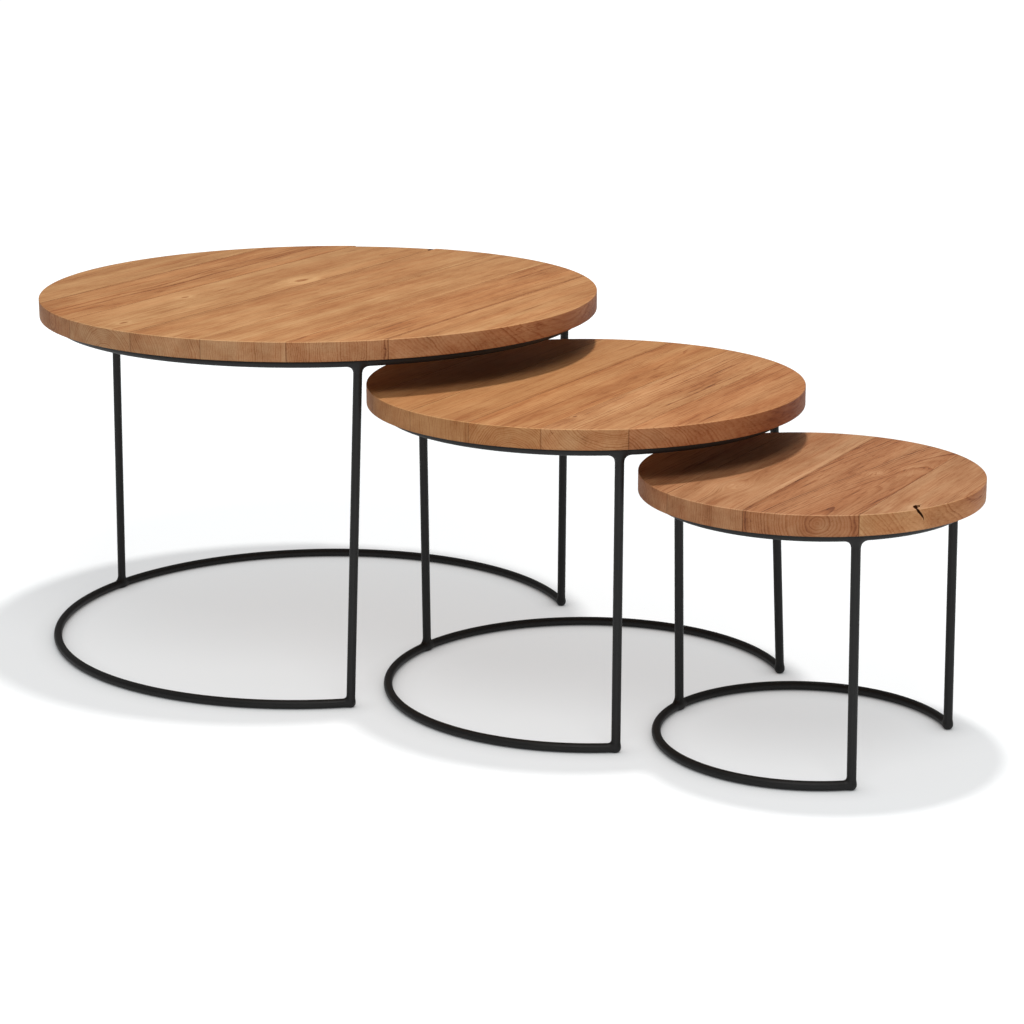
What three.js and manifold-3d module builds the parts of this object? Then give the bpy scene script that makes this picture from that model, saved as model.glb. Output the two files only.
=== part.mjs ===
// A set of three round nesting tables, drawn at the overlap they are displayed in.
// Each table is an edge-glued wooden disc on a wire frame of round steel bar: a full
// ring under the wood, three slender legs, and an open C-shaped ring on the floor.
// The mouth of each C lets the next smaller table slide in under the larger one.
// Units are millimetres and +Z is up. The floor is z = 0, +Y points to the back of the
// set, and the origin is the middle of the set's footprint.

import * as THREE from 'three';
import { mergeVertices } from 'three/addons/utils/BufferGeometryUtils.js';
import Module from 'manifold-3d';

const wasm = await Module();
wasm.setup();

// ---------------------------------------------------------------- driving dimensions

const BAR_RADIUS = 6;
const BAR_SIDES = 12;
const SCREW_SIDES = 8;
const CLEARANCE = 0.3;
const WELD_ROOT_GAP = 1;

const TOP_THICKNESS = 27;
const RIM_ROUNDING = 2;
const RING_INSET = 25;
const GRAIN_ANGLE = 61;

const LUG_WIDTH = 26;
const LUG_THICKNESS = 3;
const LUG_REACH = 30;
const LUG_HOLE_RADIUS = 2.6;
const SCREW_INSET = 18;
const SCREW_SHANK_RADIUS = 2;
const SCREW_HEAD_RADIUS = 4.4;
const SCREW_HEAD_HEIGHT = 2.6;
const SCREW_DEPTH = 15;
const RECESS_LENGTH = 4.6;
const RECESS_WIDTH = 1;
const RECESS_DEPTH = 1.4;

// Angles are in degrees, anticlockwise from +X when seen from above. A seam is the
// distance of a glue line from the disc's centre, square to the grain. A leg runs from
// "top" on the upper ring to "foot" on the floor ring; the two legs named front and
// right stand at the mouth of the C.
const TABLES = [
  {
    name: 'large',
    centre: [0, 0],
    radius: 400,
    height: 507,
    rimSides: 72,
    ringSides: 48,
    seams: [-284, -168, -40, 70, 180, 287],
    floorRing: { shift: [-16, -2], radius: 380 },
    legs: {
      left: { top: 150, foot: 147.3 },
      front: { top: 281.6, foot: 281.1 },
      right: { top: 18.2, foot: 14.9 },
    },
    lugs: [84, 207, 308, 347],
  },
  {
    name: 'medium',
    centre: [376, -281],
    radius: 295,
    height: 430,
    rimSides: 64,
    ringSides: 42,
    seams: [-208, -111, -13, 84, 181],
    floorRing: { shift: [4, 0], radius: 276 },
    legs: {
      left: { top: 146.5, foot: 145.4 },
      front: { top: 277.5, foot: 276 },
      right: { top: 14.9, foot: 9.5 },
    },
    lugs: [84, 207, 308, 347],
  },
  {
    name: 'small',
    centre: [657, -502],
    radius: 220,
    height: 358,
    rimSides: 56,
    ringSides: 36,
    seams: [-112, 3, 134],
    floorRing: { shift: [1, 0], radius: 194 },
    legs: {
      left: { top: 145.7, foot: 144 },
      front: { top: 279.8, foot: 280.8 },
      right: { top: 12.8, foot: 9 },
    },
    lugs: [84, 212, 328],
  },
];

// ---------------------------------------------------------------- materials

const WOOD_TONES = ['#c8925f', '#bd8454', '#cf9b69', '#b97f50', '#c48c5a', '#d1a06f', '#c08857'];

const steel = () => new THREE.MeshStandardMaterial({ color: '#363433', roughness: 0.55, metalness: 0.1 });
const zinc = () => new THREE.MeshStandardMaterial({ color: '#a9abad', roughness: 0.35, metalness: 1 });
const wood = (index) =>
  new THREE.MeshStandardMaterial({ color: WOOD_TONES[index % WOOD_TONES.length], roughness: 0.6 });

// ---------------------------------------------------------------- geometry helpers

const radians = THREE.MathUtils.degToRad;

const polar = (radius, degrees, shift = [0, 0]) =>
  new THREE.Vector2(
    shift[0] + radius * Math.cos(radians(degrees)),
    shift[1] + radius * Math.sin(radians(degrees)),
  );

// Turns a closed three.js geometry into a solid that can be cut and joined.
function toSolid(geometry) {
  const bare = geometry.clone();
  bare.deleteAttribute('normal');
  bare.deleteAttribute('uv');
  const merged = mergeVertices(bare, 1e-4);
  const mesh = new wasm.Mesh({
    numProp: 3,
    vertProperties: new Float32Array(merged.attributes.position.array),
    triVerts: new Uint32Array(merged.index.array),
  });
  return new wasm.Manifold(mesh);
}

function toGeometry(solid) {
  const mesh = solid.getMesh();
  const geometry = new THREE.BufferGeometry();
  geometry.setAttribute('position', new THREE.BufferAttribute(mesh.vertProperties, 3));
  geometry.setIndex(new THREE.BufferAttribute(mesh.triVerts, 1));
  geometry.computeVertexNormals();
  return geometry;
}

// The bar's section is a regular polygon around its round outline, with one flat side
// facing straight down, so that a floor ring rests on the floor along its whole length.
function barSection(offset) {
  const reach = (BAR_RADIUS + offset) / Math.cos(Math.PI / BAR_SIDES);
  const points = [];
  for (let side = 0; side <= BAR_SIDES; side += 1) {
    const angle = ((side + 0.5) * 2 * Math.PI) / BAR_SIDES;
    points.push(new THREE.Vector2(reach * Math.cos(angle), reach * Math.sin(angle)));
  }
  return points;
}

// A full ring of bar, its axis a circle at height z. The offset thickens the bar all
// round, which gives the tool that cuts a neighbour with clearance.
function ringSolid(radius, z, sides, shift, offset = 0) {
  const profile = barSection(offset).map((p) => new THREE.Vector2(radius + p.x, p.y));
  const geometry = new THREE.LatheGeometry(profile, sides);
  geometry.rotateX(Math.PI / 2);
  geometry.translate(shift[0], shift[1], z);
  return toSolid(geometry);
}

// A straight bar from one point to another. It leans by a shear, so both of its ends
// are level.
function legSolid(foot, head, offset = 0) {
  const height = head.z - foot.z;
  const reach = (BAR_RADIUS + offset) / Math.cos(Math.PI / BAR_SIDES);
  const geometry = new THREE.CylinderGeometry(reach, reach, height, BAR_SIDES);
  geometry.rotateX(Math.PI / 2);
  geometry.translate(0, 0, height / 2);
  const lean = new THREE.Matrix4().makeShear(
    0, 0, 0, 0, (head.x - foot.x) / height, (head.y - foot.y) / height,
  );
  geometry.applyMatrix4(lean);
  geometry.translate(foot.x, foot.y, foot.z);
  return toSolid(geometry);
}

// The wedge of space between two angles, used to open the floor ring into a C.
function wedgeSolid(from, to, reach, shift, height) {
  const middle = (from + to) / 2;
  const far = reach / Math.cos(radians((to - from) / 4));
  const outline = new THREE.Shape([
    new THREE.Vector2(shift[0], shift[1]),
    polar(reach, from, shift),
    polar(far, (from + middle) / 2, shift),
    polar(reach, middle, shift),
    polar(far, (middle + to) / 2, shift),
    polar(reach, to, shift),
  ]);
  const geometry = new THREE.ExtrudeGeometry(outline, { depth: height, bevelEnabled: false });
  geometry.translate(0, 0, -height / 2);
  return toSolid(geometry);
}

// ---------------------------------------------------------------- the parts of a table

// The heights that every part of one table is set out from.
function levels(table) {
  const underside = table.height - TOP_THICKNESS;
  return {
    underside,
    ringTop: underside - CLEARANCE,
    upperAxis: underside - CLEARANCE - BAR_RADIUS,
    floorAxis: BAR_RADIUS,
  };
}

const upperRadius = (table) => table.radius - RING_INSET;

function upperRingSolid(table, offset = 0) {
  return ringSolid(upperRadius(table), levels(table).upperAxis, table.ringSides, [0, 0], offset);
}

function floorRingSolid(table, offset = 0) {
  const { radius, shift } = table.floorRing;
  return ringSolid(radius, levels(table).floorAxis, table.ringSides, shift, offset);
}

// A mouth leg runs down to the floor, and the left leg stands on the floor ring.
function legEnds(table, place) {
  const leg = table.legs[place];
  const head = polar(upperRadius(table), leg.top);
  const foot = polar(table.floorRing.radius, leg.foot, table.floorRing.shift);
  const footHeight = place === 'left' ? levels(table).floorAxis : 0;
  return {
    foot: new THREE.Vector3(foot.x, foot.y, footHeight),
    head: new THREE.Vector3(head.x, head.y, levels(table).upperAxis),
  };
}

function makeLeg(table, place) {
  const { foot, head } = legEnds(table, place);
  let leg = legSolid(foot, head).subtract(upperRingSolid(table, CLEARANCE));
  if (place === 'left') {
    leg = leg.subtract(floorRingSolid(table, CLEARANCE));
  }
  return toGeometry(leg);
}

// The floor ring is a full ring with the mouth taken out of it. Its square ends stop
// short of the two mouth legs by the root gap of the weld.
function makeFloorRing(table) {
  const { radius, shift } = table.floorRing;
  const setback = THREE.MathUtils.radToDeg((BAR_RADIUS + WELD_ROOT_GAP) / radius);
  const mouthStart = table.legs.front.foot - setback;
  const mouthEnd = table.legs.right.foot + 360 + setback;
  const wedge = wedgeSolid(mouthStart, mouthEnd, radius * 1.5, shift, BAR_RADIUS * 6);
  return toGeometry(floorRingSolid(table).subtract(wedge));
}

// The wooden disc, its two rims rounded over.
function discSolid(table) {
  const { underside } = levels(table);
  const rounding = RIM_ROUNDING;
  const corner = rounding * (1 - Math.SQRT1_2);
  const profile = [
    [0, underside],
    [table.radius - rounding, underside],
    [table.radius - corner, underside + corner],
    [table.radius, underside + rounding],
    [table.radius, table.height - rounding],
    [table.radius - corner, table.height - corner],
    [table.radius - rounding, table.height],
    [0, table.height],
  ].map(([x, y]) => new THREE.Vector2(x, y));
  const geometry = new THREE.LatheGeometry(profile, table.rimSides);
  geometry.rotateX(Math.PI / 2);
  return toSolid(geometry);
}

// One plank is the slice of the disc between two neighbouring glue lines, drilled from
// below for the screws that land in it.
function makePlank(table, disc, from, to) {
  const width = to - from - CLEARANCE;
  const slab = new THREE.BoxGeometry(table.radius * 2.2, width, table.height * 2);
  slab.translate(0, -(from + to) / 2, table.height);
  slab.rotateZ(radians(GRAIN_ANGLE));
  let plank = disc.intersect(toSolid(slab));
  for (const angle of table.lugs) {
    const across = (upperRadius(table) - SCREW_INSET) * Math.sin(radians(GRAIN_ANGLE - angle));
    if (across > from && across < to) {
      plank = plank.subtract(toSolid(screwEnvelope(table, angle)));
    }
  }
  return toGeometry(plank);
}

// ---------------------------------------------------------------- fixings

const screwPlace = (table, angle) => polar(upperRadius(table) - SCREW_INSET, angle);

// The pilot hole of one screw, a little wider and deeper than its shank.
function screwEnvelope(table, angle) {
  const { underside } = levels(table);
  const place = screwPlace(table, angle);
  const radius = SCREW_SHANK_RADIUS + 2 * CLEARANCE;
  const depth = SCREW_DEPTH + 1;
  const hole = new THREE.CylinderGeometry(radius, radius, depth * 2, SCREW_SIDES);
  hole.rotateX(Math.PI / 2);
  hole.translate(place.x, place.y, underside);
  return hole;
}

// A steel tab welded to the inside of the upper ring, flush with its top.
function makeLug(table, angle) {
  const { ringTop } = levels(table);
  const half = LUG_WIDTH / 2;
  const outer = upperRadius(table);
  const inner = outer - LUG_REACH;
  const outline = new THREE.Shape();
  outline.moveTo(outer, -half);
  outline.lineTo(outer, half);
  outline.lineTo(inner + half, half);
  outline.absarc(inner + half, 0, half, Math.PI / 2, (Math.PI * 3) / 2, false);
  const hole = new THREE.Path();
  hole.absarc(outer - SCREW_INSET, 0, LUG_HOLE_RADIUS, 0, Math.PI * 2, true);
  outline.holes.push(hole);
  const geometry = new THREE.ExtrudeGeometry(outline, {
    depth: LUG_THICKNESS,
    bevelEnabled: false,
    curveSegments: 5,
  });
  geometry.translate(0, 0, ringTop - LUG_THICKNESS);
  geometry.rotateZ(radians(angle));
  return toGeometry(toSolid(geometry).subtract(upperRingSolid(table, CLEARANCE)));
}

// A round-headed wood screw, driven upwards, with a plain cross recess in its head.
function makeScrew(table, angle) {
  const { underside, ringTop } = levels(table);
  const headTop = ringTop - LUG_THICKNESS - CLEARANCE;
  const headBottom = headTop - SCREW_HEAD_HEIGHT;
  const tip = underside + SCREW_DEPTH;
  const profile = [
    [0, headBottom],
    [SCREW_HEAD_RADIUS * 0.62, headBottom],
    [SCREW_HEAD_RADIUS * 0.92, headBottom + SCREW_HEAD_HEIGHT * 0.4],
    [SCREW_HEAD_RADIUS, headTop],
    [SCREW_SHANK_RADIUS, headTop],
    [SCREW_SHANK_RADIUS, tip - 3 * SCREW_SHANK_RADIUS],
    [0, tip],
  ].map(([x, y]) => new THREE.Vector2(x, y));
  const body = new THREE.LatheGeometry(profile, SCREW_SIDES);
  body.rotateX(Math.PI / 2);
  let screw = toSolid(body);
  for (const turn of [0, Math.PI / 2]) {
    const slot = new THREE.BoxGeometry(RECESS_LENGTH, RECESS_WIDTH, RECESS_DEPTH * 2);
    slot.rotateZ(turn);
    slot.translate(0, 0, headBottom);
    screw = screw.subtract(toSolid(slot));
  }
  const place = screwPlace(table, angle);
  return toGeometry(screw.translate([place.x, place.y, 0]));
}

// ---------------------------------------------------------------- assembly

function addPiece(group, name, geometry, material) {
  const mesh = new THREE.Mesh(geometry, material);
  mesh.name = name;
  group.add(mesh);
}

function buildTable(table) {
  const group = new THREE.Group();
  group.name = `${table.name}_table`;
  group.position.set(table.centre[0], table.centre[1], 0);

  const disc = discSolid(table);
  const edges = [-table.radius * 1.1, ...table.seams, table.radius * 1.1];
  for (let i = 0; i + 1 < edges.length; i += 1) {
    const plank = makePlank(table, disc, edges[i], edges[i + 1]);
    addPiece(group, `${table.name}_top_plank_${i + 1}`, plank, wood(i));
  }

  addPiece(group, `${table.name}_upper_ring`, toGeometry(upperRingSolid(table)), steel());
  addPiece(group, `${table.name}_floor_ring`, makeFloorRing(table), steel());
  for (const place of Object.keys(table.legs)) {
    addPiece(group, `${table.name}_leg_${place}`, makeLeg(table, place), steel());
  }

  table.lugs.forEach((angle, i) => {
    addPiece(group, `${table.name}_top_lug_${i + 1}`, makeLug(table, angle), steel());
    addPiece(group, `${table.name}_top_screw_${i + 1}`, makeScrew(table, angle), zinc());
  });
  return group;
}

// The footprint of a table is that of its disc and its floor ring together.
function footprint(table) {
  const box = new THREE.Box2();
  const floorReach = table.floorRing.radius + BAR_RADIUS;
  const [x, y] = table.centre;
  const [shiftX, shiftY] = table.floorRing.shift;
  box.expandByPoint(new THREE.Vector2(x - table.radius, y - table.radius));
  box.expandByPoint(new THREE.Vector2(x + table.radius, y + table.radius));
  box.expandByPoint(new THREE.Vector2(x + shiftX - floorReach, y + shiftY));
  return box;
}

const set = new THREE.Group();
set.name = 'nesting_tables';
const plan = new THREE.Box2();
for (const table of TABLES) {
  set.add(buildTable(table));
  plan.union(footprint(table));
}
const middle = plan.getCenter(new THREE.Vector2());
set.position.set(-middle.x, -middle.y, 0);

export default set;
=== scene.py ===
"""Three round nesting tables: solid plank tops on welded frames of black steel bar."""
import math

import bmesh
import bpy
import numpy as np
from mathutils import Matrix, Vector


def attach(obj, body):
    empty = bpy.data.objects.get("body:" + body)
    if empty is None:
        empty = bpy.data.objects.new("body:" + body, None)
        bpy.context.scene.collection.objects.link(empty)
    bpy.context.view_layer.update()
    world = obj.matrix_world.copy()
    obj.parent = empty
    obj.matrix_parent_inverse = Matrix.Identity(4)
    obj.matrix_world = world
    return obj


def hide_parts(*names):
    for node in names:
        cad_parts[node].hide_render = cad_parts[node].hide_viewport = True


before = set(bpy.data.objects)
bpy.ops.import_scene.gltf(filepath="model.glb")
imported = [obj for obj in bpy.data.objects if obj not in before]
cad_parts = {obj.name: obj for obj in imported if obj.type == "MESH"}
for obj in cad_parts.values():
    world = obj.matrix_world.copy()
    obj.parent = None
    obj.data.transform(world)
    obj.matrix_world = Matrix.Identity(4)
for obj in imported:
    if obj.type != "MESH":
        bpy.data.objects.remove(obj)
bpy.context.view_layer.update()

MM = 0.001
BAR = 6 * MM   # the steel bar's radius
TABLES = ("large", "medium", "small")
GRAIN_ANGLE = math.radians(61)
ALONG = np.array([math.cos(GRAIN_ANGLE), math.sin(GRAIN_ANGLE)])     # along the planks, in plan
ACROSS = np.array([math.sin(GRAIN_ANGLE), -math.cos(GRAIN_ANGLE)])   # across them, to the front right

# -------------------- camera, light, floor

CAMERA_PLACE = (0.0389, -3.5387, 1.1499)
CAMERA_PITCH = math.radians(14.794)
CAMERA_ROLL = math.radians(-0.187)
CAMERA_LENS = 91.11
SENSOR = 36.0
CAMERA_CLIP = 300

KEY_PLACE = (0.28, 0.15, 4.3)
KEY_SIZE = 0.34
KEY_POWER = 147.0
KEY_COLOUR = (1.0, 0.985, 0.965)
SOFTBOX_PLACE = (0.2, -2.3, 3.6)
SOFTBOX_SIZE = 1.8
SOFTBOX_POWER = 62.0
SOFTBOX_COLOUR = (1.0, 0.99, 0.98)
FILL_PLACE = (0.2, -4.1, 0.22)
FILL_WIDTH = 2.4
FILL_HEIGHT = 0.36
FILL_POWER = 12.0
FILL_COLOUR = (1.0, 1.0, 1.0)
LIGHT_AIM = (0, 0, 0.4)
SKY_LOW = 0.10
SKY_HIGH = 0.48
FLOOR_SIZE = 120.0
FLOOR_DROP = 0.4 * MM
FLOOR_SHADES = ((0.2, (0.412, 0.422, 0.427)), (0.8, (0.420, 0.430, 0.435)))
# The floor's own glow grows from near to far between these distances from the middle.
FLOOR_GLOW_START = 0.9
FLOOR_GLOW_STOP = 3.2
FLOOR_GLOW_NEAR = 0.55
FLOOR_GLOW_FAR = 0.92
FLOOR_GLOW_COLOUR = (0.975, 1.0, 1.015, 1)
CONTACT_REACH = 0.035   # how near a thing has to be to dim the glow under it


def add_object(name, data):
    made = bpy.data.objects.new(name, data)
    bpy.context.scene.collection.objects.link(made)
    return made


def make_camera():
    data = bpy.data.cameras.new("camera")
    data.lens = CAMERA_LENS
    data.sensor_width = SENSOR
    data.clip_end = CAMERA_CLIP
    camera = add_object("camera", data)
    forward = Vector((0, math.cos(CAMERA_PITCH), -math.sin(CAMERA_PITCH)))
    right = Vector((1, 0, 0))
    up = right.cross(forward)
    tilted_right = math.cos(CAMERA_ROLL) * right + math.sin(CAMERA_ROLL) * up
    tilted_up = -math.sin(CAMERA_ROLL) * right + math.cos(CAMERA_ROLL) * up
    turn = Matrix((tilted_right, tilted_up, -forward)).transposed()
    camera.matrix_world = Matrix.Translation(CAMERA_PLACE) @ turn.to_4x4()
    bpy.context.scene.camera = camera


# -------------------- node trees


class Graph:
    """Short calls that add nodes to one tree. Each returns the new node's output."""

    def __init__(self, tree):
        self.tree = tree

    def node(self, kind, **settings):
        made = self.tree.nodes.new(kind)
        for key, value in settings.items():
            setattr(made, key, value)
        return made

    def feed(self, socket, value):
        if isinstance(value, bpy.types.NodeSocket):
            self.tree.links.new(value, socket)
        else:
            socket.default_value = value

    def math(self, operation, *values):
        made = self.node("ShaderNodeMath", operation=operation)
        for socket, value in zip(made.inputs, values):
            self.feed(socket, value)
        return made.outputs[0]

    def add(self, *values):
        total = values[0]
        for value in values[1:]:
            total = self.math("ADD", total, value)
        return total

    def times(self, *values):
        total = values[0]
        for value in values[1:]:
            total = self.math("MULTIPLY", total, value)
        return total

    def minus(self, a, b):
        return self.math("SUBTRACT", a, b)

    def square(self, a):
        return self.math("MULTIPLY", a, a)

    def centred(self, noise):
        """The noise shifted to swing about zero."""
        return self.minus(noise, 0.5)

    def vector(self, operation, *values):
        made = self.node("ShaderNodeVectorMath", operation=operation)
        for socket, value in zip(made.inputs, values):
            self.feed(socket, value)
        scalar = operation in ("DOT_PRODUCT", "LENGTH")
        return made.outputs["Value" if scalar else "Vector"]

    def combine(self, x, y, z):
        made = self.node("ShaderNodeCombineXYZ")
        for socket, value in zip(made.inputs, (x, y, z)):
            self.feed(socket, value)
        return made.outputs[0]

    def separate(self, vector):
        made = self.node("ShaderNodeSeparateXYZ")
        self.feed(made.inputs[0], vector)
        return made.outputs

    def noise(self, vector, detail=2.0, roughness=0.5, scale=1.0):
        made = self.node("ShaderNodeTexNoise")
        self.feed(made.inputs["Vector"], vector)
        self.feed(made.inputs["Scale"], scale)
        self.feed(made.inputs["Detail"], detail)
        self.feed(made.inputs["Roughness"], roughness)
        return made.outputs[0]

    def random(self, value):
        made = self.node("ShaderNodeTexWhiteNoise", noise_dimensions="1D")
        self.feed(made.inputs["W"], value)
        return made.outputs["Value"]

    def smooth(self, value, low, high, start=0.0, end=1.0):
        made = self.node("ShaderNodeMapRange", interpolation_type="SMOOTHSTEP")
        for socket, given in zip(made.inputs, (value, low, high, start, end)):
            self.feed(socket, given)
        return made.outputs[0]

    def ramp(self, factor, stops):
        made = self.node("ShaderNodeValToRGB")
        self.feed(made.inputs[0], factor)
        elements = made.color_ramp.elements
        while len(elements) < len(stops):
            elements.new(0.5)
        for element, (place, colour) in zip(elements, stops):
            element.position = place
            element.color = (*colour, 1.0)
        return made.outputs[0]

    def mix(self, factor, a, b, blend="MIX"):
        made = self.node("ShaderNodeMix", data_type="RGBA", blend_type=blend)
        self.feed(made.inputs[0], factor)
        self.feed(made.inputs[6], a)
        self.feed(made.inputs[7], b)
        return made.outputs[2]

    def bump(self, height, distance, strength):
        made = self.node("ShaderNodeBump")
        self.feed(made.inputs["Height"], height)
        self.feed(made.inputs["Distance"], distance)
        self.feed(made.inputs["Strength"], strength)
        return made.outputs[0]


def new_material(name):
    """An empty node material, its graph and its shader."""
    material = bpy.data.materials.new(name)
    material.use_nodes = True
    shader = material.node_tree.nodes["Principled BSDF"]
    return material, Graph(material.node_tree), shader


def area_light(name, place, width, height, power, colour):
    """An area light aimed at the middle of the set."""
    data = bpy.data.lights.new(name, "AREA")
    data.shape = "ELLIPSE" if width == height else "RECTANGLE"
    data.size = width
    data.size_y = height
    data.energy = power
    data.color = colour
    light = add_object(name, data)
    light.location = place
    aim = Vector(LIGHT_AIM) - light.location
    light.rotation_euler = aim.to_track_quat("-Z", "Y").to_euler()
    light.visible_camera = False


def make_light():
    """A small key high over the set, a soft box in front of it, a low wide fill and a dome."""
    area_light("key", KEY_PLACE, KEY_SIZE, KEY_SIZE, KEY_POWER, KEY_COLOUR)
    area_light("soft_box", SOFTBOX_PLACE, SOFTBOX_SIZE, SOFTBOX_SIZE, SOFTBOX_POWER,
               SOFTBOX_COLOUR)
    area_light("fill", FILL_PLACE, FILL_WIDTH, FILL_HEIGHT, FILL_POWER, FILL_COLOUR)
    world = bpy.data.worlds.new("studio")
    bpy.context.scene.world = world
    world.use_nodes = True
    g = Graph(world.node_tree)
    height = g.separate(g.node("ShaderNodeTexCoord").outputs["Generated"])[2]
    sky = world.node_tree.nodes["Background"]
    g.feed(sky.inputs["Strength"], g.smooth(height, 0.0, 1.0, SKY_LOW, SKY_HIGH))
    sky.inputs["Color"].default_value = (1, 1, 1, 1)
    bpy.context.scene.view_settings.view_transform = "Standard"


# -------------------- wood

# Tones from pale sapwood to the darkest vein.
WOOD_STOPS = (
    (0.0, (0.425, 0.238, 0.106)),
    (0.30, (0.336, 0.167, 0.067)),
    (0.60, (0.238, 0.094, 0.032)),
    (0.85, (0.130, 0.046, 0.018)),
    (1.0, (0.050, 0.018, 0.008)),
)
# Noise drawn out along the grain: length and width of its grains in mm, detail, roughness, offset.
BROAD = (520, 34, 3, 0.55, 11.0)
PATCHES = (110, 42, 3, 0.55, 51.0)
STREAKS = (120, 6.2, 3, 0.62, 23.0)
FINE = (42, 2.0, 2, 0.6, 31.0)
DASHES = (26, 1.9, 2, 0.5, 83.0)
PORES = (16, 0.55, 1, 0.5, 41.0)
VEINS = (800, 15, 2, 0.5, 91.0)
VEIN_FADING = (150, 22, 1, 0.5, 97.0)
RING_WAVES = (150, 22, 2, 0.5, 0.0)
RING_RIPPLES = (60, 7, 1, 0.5, 5.0)
WARMTH = (420, 26, 2, 0.5, 71.0)
BAND_WAVES = (300, 40, 1, 0.5, 61.0)
# Colours that the wood is multiplied by.
REDDENED = (1.03, 0.90, 0.84, 1)
RIM_LONG_GRAIN = (0.94, 0.72, 0.68, 1)
RIM_END_GRAIN = (1.17, 1.30, 1.60, 1)
SEAM_SHADE = (0.42, 0.34, 0.30, 1)
# Painted shade for the inside of a crack.
CRACK_PAINTED_SHADE = (0.14, 0.10, 0.08, 1)
FACE_MARKS = ("rim", "end_grain", "edge", "split")
FAR_OFF = 9000.0   # mm, for a knot or band that a plank doesn't have
GROUP_INPUTS = (
    ("Centre", "Vector"),
    ("Seed", "Float"),
    ("Pith", "Vector"),       # across, height over the top face, ring spacing
    ("Drift", "Vector"),      # how the pith runs off along the plank, and its wander
    ("Tone", "Float"),        # darkness on the colour scale
    ("Red", "Float"),         # how much of the plank is reddened
    ("Cast", "Color"),        # multiplies the whole plank's colour
    ("Rim Cast", "Color"),    # multiplies the colour of its part of the rim
    ("Lines", "Float"),       # how strongly rings and veins show on the face
    ("Knot A", "Vector"),     # along, across, radius
    ("Knot B", "Vector"),
    ("Knot C", "Vector"),
    ("Band A", "Vector"),     # across, half width, how much darker
    ("Band B", "Vector"),
    ("Run A", "Vector"),      # where Band A starts and stops along the plank, and its fade
    ("Run B", "Vector"),
    ("Span", "Vector"),       # the plank's edges across, and how lively its figure is
)
GROUP_OUTPUTS = (("Color", "Color"), ("Roughness", "Float"), ("Height", "Float"))


def bend_round_knot(g, along, across, knot):
    """The across coordinate pushed aside round a knot, and the knot's own darkness.

    A knot of negative radius bends the grain without showing a heart.
    """
    knot_along, knot_across, signed = g.separate(knot)
    radius = g.math("ABSOLUTE", signed)
    reach = g.math("DIVIDE", g.minus(along, knot_along), radius)
    side = g.math("DIVIDE", g.minus(across, knot_across), radius)
    fall = g.add(g.square(g.times(reach, 0.30)), g.square(g.times(side, 0.36)))
    near = g.math("EXPONENT", g.times(fall, -1.0))
    push = g.times(g.math("TANH", g.times(side, 1.2)), near, radius, 1.5)
    distance = g.math("SQRT", g.add(g.square(g.times(reach, 0.45)), g.square(side)))
    heart = g.times(g.smooth(distance, 1.0, 0.4), g.math("GREATER_THAN", signed, 0.0), 0.58)
    halo = g.times(near, -0.26)
    return g.minus(across, push), g.add(heart, halo)


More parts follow.
